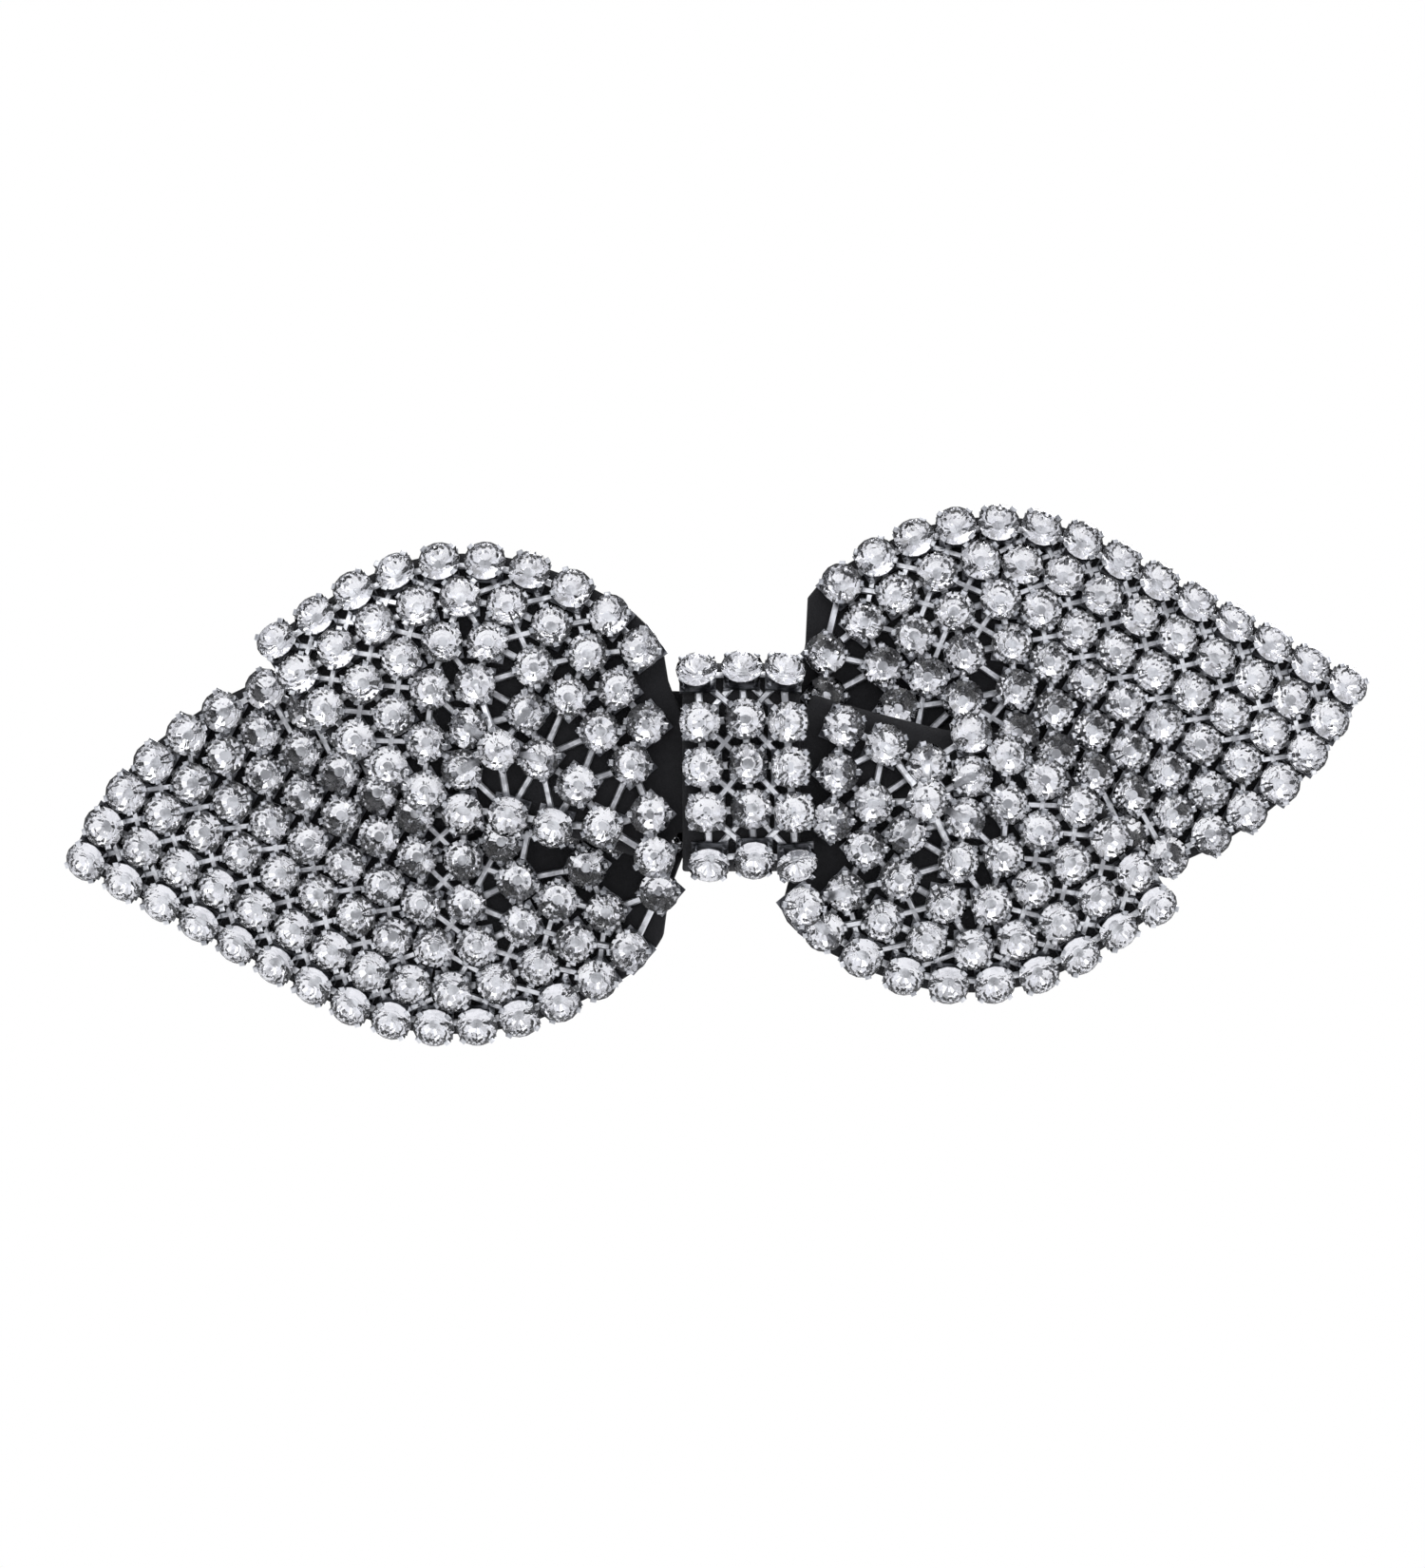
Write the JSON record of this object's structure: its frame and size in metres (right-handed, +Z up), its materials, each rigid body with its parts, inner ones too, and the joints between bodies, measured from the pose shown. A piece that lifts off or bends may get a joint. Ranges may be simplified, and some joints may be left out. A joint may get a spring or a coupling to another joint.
{
  "type": "rhinestone hair clip",
  "caption": "Wide bow of two crossed stone-set ribbons held by a knot band, on a French barrette with a hinged closing bar and pinch latch.",
  "frame": {"origin": "middle of the hair channel, between the tension leaf and the closing bar", "axes": "+X along the barrette towards the latch, +Z up as worn, the stones face -Y and the scalp side is +Y"},
  "size_m": [0.1136, 0.0225, 0.047],
  "materials": {
    "plate_steel": "nickel plated, satin",
    "bar_steel": "nickel plated, satin",
    "spring_steel": "bright spring steel",
    "rivet_steel": "bright",
    "pad_felt": "pressed felt",
    "backing_felt": "pressed felt",
    "thread": "waxed thread",
    "cup_metal": "gunmetal silver plate",
    "crystal": "cut and polished, silver foil back"
  },
  "bodies": {
    "clip": {"barrette_plate": "plate_steel", "tension_leaf": "spring_steel", "hinge_rivet": "rivet_steel", "latch_foot": "spring_steel", "latch_rivet": "rivet_steel", "backing_pads": "pad_felt", "thread_loops": "thread", "rear_backing": "backing_felt", "rear_right_cups": "cup_metal", "rear_right_stones": "crystal", "rear_left_cups": "cup_metal", "rear_left_stones": "crystal", "front_backing": "backing_felt", "front_right_cups": "cup_metal", "front_right_stones": "crystal", "front_left_cups": "cup_metal", "front_left_stones": "crystal", "knot_band": "backing_felt", "knot_cups": "cup_metal", "knot_stones": "crystal"},
    "closing_bar": {"closing_bar": "bar_steel"},
    "upper_prong": {"latch_prong_upper": "spring_steel"},
    "lower_prong": {"latch_prong_lower": "spring_steel"}
  },
  "joints": [
    {"name": "bar_hinge", "type": "hinge", "parent": "clip", "child": "closing_bar", "pos_m": [-0.0395, 0.00333, 0], "axis": [0, 0, 1], "range_deg": [0, 95]},
    {"name": "upper_prong_flex", "type": "hinge", "parent": "clip", "child": "upper_prong", "pos_m": [0.0384, 0.00235, 0.00205], "axis": [-1, 0, 0], "range_deg": [0, 8], "stiffness_Nm_per_rad": 0.003},
    {"name": "lower_prong_flex", "type": "hinge", "parent": "clip", "child": "lower_prong", "pos_m": [0.0384, 0.00235, -0.00205], "axis": [1, 0, 0], "range_deg": [0, 8], "stiffness_Nm_per_rad": 0.003}
  ]
}
